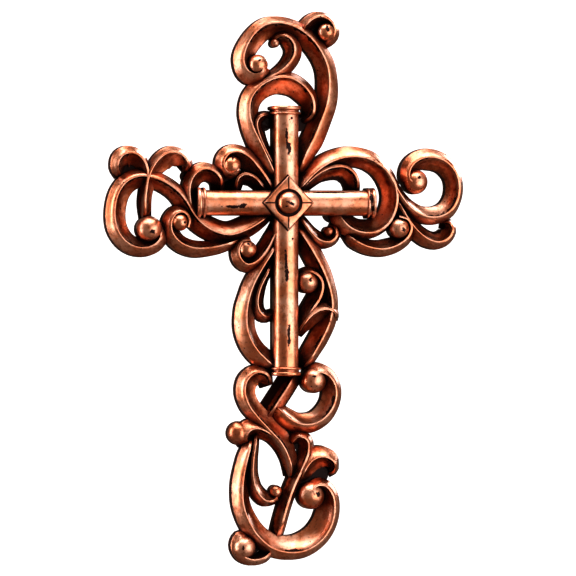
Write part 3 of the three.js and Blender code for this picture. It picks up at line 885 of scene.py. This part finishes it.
# This mask shapes the black chips and also the places of painted light.
chip_and_lit_patch, start, finish = new_group("Worn chip and lit patch", [
    ("Point", "NodeSocketVector", (0, 0, 0)), ("Place", "NodeSocketVector", (0, 0, 0)),
    ("Reach", "NodeSocketVector", (1, 1, 1)), ("Ragged", "NodeSocketFloat", 0.5),
    ("Soft", "NodeSocketFloat", 0.08)], ["Mask"])
away = chip_and_lit_patch.nodes.new("ShaderNodeVectorMath")
away.operation = "SUBTRACT"
chip_and_lit_patch.links.new(start.outputs["Point"], away.inputs[0])
chip_and_lit_patch.links.new(start.outputs["Place"], away.inputs[1])
share = chip_and_lit_patch.nodes.new("ShaderNodeVectorMath")
share.operation = "DIVIDE"
chip_and_lit_patch.links.new(away.outputs[0], share.inputs[0])
chip_and_lit_patch.links.new(start.outputs["Reach"], share.inputs[1])
length = chip_and_lit_patch.nodes.new("ShaderNodeVectorMath")
length.operation = "LENGTH"
chip_and_lit_patch.links.new(share.outputs[0], length.inputs[0])
ragged = math_node(chip_and_lit_patch, "SUBTRACT", noise(chip_and_lit_patch, start.outputs["Point"], 620, 4), 0.5)
ragged = math_node(chip_and_lit_patch, "MULTIPLY", ragged, start.outputs["Ragged"])
edge = math_node(chip_and_lit_patch, "ADD", length.outputs["Value"], math_node(chip_and_lit_patch, "MULTIPLY", ragged, 5.0))
soft = start.outputs["Soft"]
within = math_node(chip_and_lit_patch, "SUBTRACT", math_node(chip_and_lit_patch, "ADD", soft, 1.0), edge)
chip_and_lit_patch.links.new(math_node(chip_and_lit_patch, "DIVIDE", within, math_node(chip_and_lit_patch, "MULTIPLY", soft, 2.0), clamp=True),
               finish.inputs["Mask"])

depth, start, finish = new_group("Share of depth", [
    ("Point", "NodeSocketVector", (0, 0, 0)), ("Front", "NodeSocketFloat", 0.014),
    ("Back", "NodeSocketFloat", 0.004)], ["Depth"])
parts_of = depth.nodes.new("ShaderNodeSeparateXYZ")
depth.links.new(start.outputs["Point"], parts_of.inputs[0])
height = math_node(depth, "MULTIPLY", parts_of.outputs["Y"], -1.0)
below = math_node(depth, "SUBTRACT", start.outputs["Front"], height)
span = math_node(depth, "SUBTRACT", start.outputs["Front"], start.outputs["Back"])
depth.links.new(math_node(depth, "DIVIDE", below, span, clamp=True), finish.inputs["Depth"])

specks, start, finish = new_group("Specks", [
    ("Point", "NodeSocketVector", (0, 0, 0)), ("Scale", "NodeSocketFloat", 300.0),
    ("Size", "NodeSocketFloat", 0.12)], ["Mask"])
cells = specks.nodes.new("ShaderNodeTexVoronoi")
specks.links.new(start.outputs["Point"], cells.inputs["Vector"])
specks.links.new(start.outputs["Scale"], cells.inputs["Scale"])
keep = ramp(specks, noise(specks, start.outputs["Point"], 90), 0.49, 0.57)
near = math_node(specks, "LESS_THAN", cells.outputs["Distance"], start.outputs["Size"])
specks.links.new(math_node(specks, "MULTIPLY", near, keep), finish.inputs["Mask"])
print("groups:", [g.name for g in bpy.data.node_groups])

# %% [markdown]
# ## Where the paint is worn, and where light is painted
#
# Chips of black lie where the photo shows them, on the bars, the collars and the beads, and
# some low places that face the light are painted lighter, as painted light.

# %% Place the wear
chips = [
    # place across and up in millimetres, half size across and up, raggedness
    (-0.6, 37.5, 0.8, 6.0, 0.5), (0.9, 31.0, 1.1, 3.0, 0.6), (-1.0, -33.0, 0.9, 6.5, 0.5),
    (-0.4, -41.0, 1.1, 3.6, 0.5), (0.7, -76.5, 0.9, 7.0, 0.5), (2.3, 48.6, 0.8, 0.8, 0.3),
    (2.8, -20.5, 0.6, 0.7, 0.3), (-30.5, -2.3, 6.4, 0.9, 0.5), (-26.5, -1.6, 2.6, 1.2, 0.5),
    (24.0, 6.0, 10.0, 0.5, 0.3), (48.6, 2.5, 1.2, 2.6, 0.5), (49.5, -3.0, 0.9, 1.6, 0.5),
    (-0.5, 0.3, 2.4, 1.5, 0.25), (1.4, -0.7, 1.9, 1.7, 0.3), (-1.9, -2.0, 1.3, 0.7, 0.3),
]
spots = [
    # place on the sheet in squares, half size in millimetres, raggedness
    (326, 29, 1.0, 2.0, 0.5), (152, 231, 1.6, 1.2, 0.5), (232, 158, 0.7, 1.4, 0.5),
    (402, 229, 1.2, 1.6, 0.5), (247, 243, 1.0, 0.9, 0.5), (317, 492, 1.3, 1.8, 0.6),
    (313, 375, 1.0, 0.8, 0.5), (242, 545, 0.8, 1.4, 0.5), (309, 279, 0.8, 1.2, 0.5),
    (418, 177, 1.0, 0.9, 0.5), (258, 61, 0.9, 0.7, 0.5), (184, 222, 0.7, 1.0, 0.5),
]
painted_lit_places = [
    # painted light on low places that face the light: place on the sheet in squares, half size in
    # millimetres
    (292, 538, 19, 8), (318, 528, 9, 9), (306, 412, 14, 7), (322, 404, 7, 8), (438, 206, 13, 7),
    (374, 236, 11, 6), (130, 236, 9, 7), (440, 234, 7, 5), (250, 330, 6, 18),
]
print(len(chips), "chips,", len(spots), "spots and", len(painted_lit_places), "rubbed places")

# %% [markdown]
# ## Copper tones
#
# The bright copper deepens to brown lower down, which is part patina and part painted shade. Where parts
# meet a dark red is painted as painted shade with copper's reflected light. Ambient occlusion tells how shut
# in a place is, and one coarse and one fine noise keep the paint from being even.

# %% Mix the copper
pale_copper = (0.98, 0.49, 0.32, 1)
bright_copper = (0.88, 0.29, 0.135, 1)
# Brown lower down: part patina, part painted shade
low_patina_and_shade_copper = (0.48, 0.095, 0.018, 1)
mottled_copper = (0.20, 0.038, 0.008, 1)
# Painted shade: the dark red where parts meet stands in for shade and copper's reflected light
painted_shade_copper = (0.30, 0.035, 0.006, 1)
grained_copper = (0.33, 0.070, 0.022, 1)
close_reach = 9 * mm

# How fine each noise is: the number of its blotches in a metre
cloud_scale = 75
fine_scale = 420
mottle_scale = 190

# How far out from the back the copper starts to deepen, and where it is deepest
deepen_from = 14.8 * mm
deepest_at = 6.6 * mm

# How far out the middle of a place with painted light is, and how far it reaches in and out
lit_place_out = 12 * mm
lit_place_deep = 20 * mm

copper = bpy.data.materials.new("antiqued copper")
copper.use_nodes = True
tree = copper.node_tree
shader = tree.nodes["Principled BSDF"]
point = tree.nodes.new("ShaderNodeTexCoord").outputs["Object"]


def use(group, **values):
    node = tree.nodes.new("ShaderNodeGroup")
    node.node_tree = group
    tree.links.new(point, node.inputs["Point"])
    for label, value in values.items():
        node.inputs[label].default_value = value
    return node.outputs[0]


def stronger_of(a, b):
    return math_node(tree, "MAXIMUM", a, b)


def mixed(share, a, b):
    node = tree.nodes.new("ShaderNodeMix")
    node.data_type = "RGBA"
    tree.links.new(share, node.inputs[0])
    for value, socket in ((a, node.inputs[6]), (b, node.inputs[7])):
        if isinstance(value, tuple):
            socket.default_value = value
        else:
            tree.links.new(value, socket)
    return node.outputs[2]


close = tree.nodes.new("ShaderNodeAmbientOcclusion")
close.samples = 12
close.inputs["Distance"].default_value = close_reach
# Painted shade: where ambient occlusion finds a place shut in, the copper is painted dark red
painted_shade = ramp(tree, close.outputs["AO"], 0.92, 0.40)
cloud = noise(tree, point, cloud_scale, 4)
fine = noise(tree, point, fine_scale, 5, 0.65)
grain = math_node(tree, "SUBTRACT", fine, 0.5)

# Worn bright on the high places, and brown lower down as patina and painted shade
deep = math_node(tree, "ADD", use(depth, Front=deepen_from, Back=deepest_at),
                 math_node(tree, "MULTIPLY", grain, 0.9), True)
# Painted light: the listed low places that face the light are made lighter
for x, y, wide, tall in painted_lit_places:
    cx, cz = on_cross(x, y)
    painted_lit_place = use(chip_and_lit_patch, Place=(cx, -lit_place_out, cz), Reach=(wide * mm, lit_place_deep, tall * mm),
               Ragged=0.2, Soft=0.35)
    deep = math_node(tree, "SUBTRACT", deep, math_node(tree, "MULTIPLY", painted_lit_place, 0.75), True)
bright = mixed(ramp(tree, cloud, 0.40, 0.60), bright_copper, pale_copper)
tone = mixed(deep, bright, low_patina_and_shade_copper)

# Mottled lower down, painted shade in dark red where parts meet, and grained all over
mottle = ramp(tree, noise(tree, point, mottle_scale, 4, 0.6), 0.47, 0.60)
mottle = math_node(tree, "MULTIPLY", mottle, math_node(tree, "MULTIPLY_ADD", deep, 0.6, third=0.15))
tone = mixed(mottle, tone, mottled_copper)
tone = mixed(math_node(tree, "MULTIPLY", painted_shade, 0.85), tone, painted_shade_copper)
grained = math_node(tree, "MULTIPLY", ramp(tree, fine, 0.52, 0.64), 0.45)
tone = mixed(grained, tone, grained_copper)
print("tones use", len(tree.nodes), "nodes")

# %% [markdown]
# ## Black worn into it, and painted shade
#
# Black stays where no hand or cloth reaches: in the creases, on the low walls and in the boss's
# groove and lines. In the creases it is partly black paint and partly painted shade. A ragged black
# line runs beside the ridges, and the dark line round the diamond's foot is a painted shadow.
# Each of these is a mask, and the strongest mask counts.

# %% Work in the black
black_from = 8.6 * mm
blackest_at = 6.2 * mm
engraving_deep = 0.6 * mm
# The painted shadow round the diamond's foot starts this far out from the back
shadow_rim_above = 10 * mm
patch_scale = 60
speck_scale = 300.0
speck_size = 0.13

# How far out from the back the middles of chips and spots are, and how deep each reaches
chip_out = 16 * mm
chip_deep = 12 * mm
spot_out = 15 * mm
spot_deep = 8 * mm

# In the creases, black paint and painted shade together, and black paint on the low walls
# Painted shade and black paint: ambient occlusion blackens the creases
crease_black_and_shade = math_node(tree, "ADD", close.outputs["AO"], math_node(tree, "MULTIPLY", grain, 0.5))
black_and_shade = ramp(tree, crease_black_and_shade, 0.64, 0.42)
low = math_node(tree, "ADD", use(depth, Front=black_from, Back=blackest_at),
                math_node(tree, "MULTIPLY", grain, 0.8))
black_and_shade = stronger_of(black_and_shade, ramp(tree, low, 0.35, 0.75))

# The ring groove and the engraved lines of the diamond
places = tree.nodes.new("ShaderNodeSeparateXYZ")
tree.links.new(point, places.inputs[0])
across = math_node(tree, "DIVIDE", math_node(tree, "ABSOLUTE", places.outputs["X"]), diamond_wide / 2)
upward = math_node(tree, "DIVIDE", math_node(tree, "ABSOLUTE", places.outputs["Z"]), diamond_tall / 2)
around = math_node(tree, "ADD", across, upward)
inside = math_node(tree, "LESS_THAN", around, 0.95)
boss_front = diamond_height + pad_proud
sunk = use(depth, Front=boss_front, Back=boss_front - engraving_deep)
engraved = math_node(tree, "MULTIPLY", inside, ramp(tree, sunk, 0.30, 0.60))
black_and_shade = stronger_of(black_and_shade, engraved)

# Painted shadow: a dark line round the foot of the diamond, where it stands over the bars
painted_shadow_rim = math_node(tree, "ABSOLUTE", math_node(tree, "SUBTRACT", around, 1.02))
painted_shadow_rim = math_node(tree, "ADD", painted_shadow_rim, math_node(tree, "MULTIPLY", grain, 0.07))
out = math_node(tree, "MULTIPLY", places.outputs["Y"], -1.0)
above = math_node(tree, "GREATER_THAN", out, shadow_rim_above)
black_and_shade = stronger_of(black_and_shade, math_node(tree, "MULTIPLY", above, ramp(tree, painted_shadow_rim, 0.025, 0.042, 1.0, 0.0)))

# A ragged black line beside each ridge
ridge = tree.nodes.new("ShaderNodeAttribute")
ridge.attribute_name = "ridge"
patches = ramp(tree, noise(tree, point, patch_scale, 3), 0.42, 0.54)
line = math_node(tree, "MULTIPLY", ridge.outputs["Fac"], patches)
line = math_node(tree, "ADD", line, math_node(tree, "MULTIPLY", grain, 1.4))
black_and_shade = stronger_of(black_and_shade, ramp(tree, line, 0.62, 0.74))

# Chips on the bars and the boss, spots on the beads and ribbons, and fine specks
for x, z, wide, tall, rag in chips:
    mask = use(chip_and_lit_patch, Place=(x * mm, -chip_out, z * mm), Reach=(wide * mm, chip_deep, tall * mm), Ragged=rag)
    black_and_shade = stronger_of(black_and_shade, mask)
for x, y, wide, tall, rag in spots:
    cx, cz = on_cross(x, y)
    mask = use(chip_and_lit_patch, Place=(cx, -spot_out, cz), Reach=(wide * mm, spot_deep, tall * mm), Ragged=rag)
    black_and_shade = stronger_of(black_and_shade, mask)
black_and_shade = stronger_of(black_and_shade, use(specks, Scale=speck_scale, Size=speck_size))
print("with the black,", len(tree.nodes), "nodes")

# %% [markdown]
# ## The back's coat and the surface
#
# The flat back has a plain coat of brown copper with little black. Where the black paint and the painted
# shade lie it stops being metallic, shines less and is rougher, and a clear coat pales the copper's
# highlights. Low bumps from both noises make the surface uneven.

# %% Finish the surface
back_dark = (0.30, 0.085, 0.032, 1)
back_pale = (0.46, 0.150, 0.065, 1)
back_from = 1.6 * mm
back_at = 0.6 * mm
# Black paint, and also the colour of the painted shade in the creases and the painted shadow round the
# diamond
black_paint_and_shade = (0.016, 0.003, 0.002, 1)
bump_high = 0.6 * mm
back = use(depth, Front=back_from, Back=back_at)
black_and_shade = math_node(tree, "MULTIPLY", black_and_shade, math_node(tree, "MULTIPLY_ADD", back, -0.85, third=1.0))
tone = mixed(back, tone, mixed(cloud, back_dark, back_pale))
tree.links.new(mixed(black_and_shade, tone, black_paint_and_shade), shader.inputs["Base Color"])
tree.links.new(ramp(tree, black_and_shade, 0.0, 1.0, 1.0, 0.0), shader.inputs["Metallic"])
tree.links.new(ramp(tree, black_and_shade, 0.0, 1.0, 0.5, 0.12), shader.inputs["Specular IOR Level"])
tree.links.new(ramp(tree, black_and_shade, 0.0, 1.0, 0.8, 0.1), shader.inputs["Coat Weight"])
shader.inputs["Coat Roughness"].default_value = 0.22
rough = math_node(tree, "ADD", ramp(tree, cloud, 0.3, 0.7, 0.30, 0.42),
                  math_node(tree, "MULTIPLY", black_and_shade, 0.3))
tree.links.new(rough, shader.inputs["Roughness"])
bump = tree.nodes.new("ShaderNodeBump")
bump.inputs["Strength"].default_value = 0.5
bump.inputs["Distance"].default_value = bump_high
uneven = math_node(tree, "ADD", math_node(tree, "MULTIPLY", cloud, 0.6),
                   math_node(tree, "MULTIPLY", fine, 0.4))
tree.links.new(uneven, bump.inputs["Height"])
tree.links.new(bump.outputs["Normal"], shader.inputs["Normal"])
casting.data.materials.clear()
casting.data.materials.append(copper)
print("copper has", len(tree.nodes), "nodes")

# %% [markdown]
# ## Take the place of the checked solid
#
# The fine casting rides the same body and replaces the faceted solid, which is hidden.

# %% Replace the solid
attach(casting, "root")
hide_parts("cast_cross")
print("replaced cast_cross")

# %% [markdown]
# ## Stage
#
# A pale floor and a round backdrop glow a little, so that the cross stands before white from
# every side. The metal doesn't mirror them, which keeps its dark tones dark.

# %% Set the stage
floor_level = -1.6
studio_radius = 6
studio_tall = 12
floor_colour = (0.80, 0.79, 0.78, 1)
backdrop_colour = (0.9, 0.9, 0.9, 1)
bpy.ops.mesh.primitive_circle_add(vertices=64, radius=studio_radius, fill_type="NGON",
                                  location=(0, 0, floor_level))
floor = bpy.context.object
floor.name = "floor"
bpy.ops.mesh.primitive_cylinder_add(vertices=64, radius=studio_radius, depth=studio_tall,
                                    end_fill_type="NOTHING",
                                    location=(0, 0, floor_level + studio_tall / 2))
backdrop = bpy.context.object
backdrop.name = "backdrop"
for piece, colour, glow in ((floor, floor_colour, 0.75), (backdrop, backdrop_colour, 1.0)):
    paint = bpy.data.materials.new(piece.name)
    paint.use_nodes = True
    body = paint.node_tree.nodes["Principled BSDF"]
    body.inputs["Base Color"].default_value = colour
    body.inputs["Roughness"].default_value = 0.9
    body.inputs["Emission Color"].default_value = (1, 1, 1, 1)
    body.inputs["Emission Strength"].default_value = glow
    piece.data.materials.append(paint)
    piece.visible_glossy = False
    piece.visible_diffuse = False
print("stage:", floor.name, backdrop.name)

# %% [markdown]
# ## Lights
#
# A broad softbox above, one to the right of the camera, a narrow one far to the left and one
# behind on the right, which lights the back. Metal shows what it mirrors, so the softboxes'
# places draw the highlights. A faint warm light comes from all around.

# %% Light it
target = Vector((0.0034, 0, -0.0487))
around_colour = (1, 0.76, 0.60, 1)
around_strength = 0.15


def softbox(name, place, size, power, colour=(1, 1, 1)):
    made = bpy.data.lights.new(name, "AREA")
    made.shape = "RECTANGLE"
    made.size, made.size_y = size
    made.energy = power
    made.color = colour
    lamp = bpy.data.objects.new(name, made)
    bpy.context.collection.objects.link(lamp)
    lamp.location = place
    lamp.rotation_euler = (target - Vector(place)).to_track_quat("-Z", "Y").to_euler()


softbox("above", (-0.1, -0.16, 1.4), (1.8, 1.3), 37)
softbox("right front", (1.08, -1.38, -0.1), (1.8, 1.8), 24, (1, 0.98, 0.96))
softbox("far left", (-1.6, 0.05, 0.15), (0.5, 1.6), 16)
softbox("behind", (1.8, 2.0, 1.2), (1.6, 1.6), 40)
world = bpy.data.worlds.new("studio")
world.use_nodes = True
around_light = world.node_tree.nodes["Background"].inputs
around_light["Color"].default_value = around_colour
around_light["Strength"].default_value = around_strength
bpy.context.scene.world = world
bpy.context.scene.view_settings.view_transform = "Standard"
bpy.context.scene.view_settings.look = "Medium High Contrast"
print("four softboxes")

# %% [markdown]
# ## Camera
#
# A long lens, level with the middle of the cross and ten degrees to its left. A near camera
# would make the parts that stand out look larger.

# %% Aim the camera
distance = 3.4
angle = math.radians(10)
picture_wide = 331.2 * mm
sensor_wide = 36
lens = bpy.data.cameras.new("camera")
lens.sensor_width = sensor_wide
lens.lens = sensor_wide / picture_wide * distance
lens.clip_end = 50
camera = bpy.data.objects.new("camera", lens)
bpy.context.collection.objects.link(camera)
camera.location = target + Vector((-math.sin(angle), -math.cos(angle), 0)) * distance
camera.rotation_euler = (target - camera.location).to_track_quat("-Z", "Y").to_euler()
bpy.context.scene.camera = camera
print("lens:", round(lens.lens), "mm")
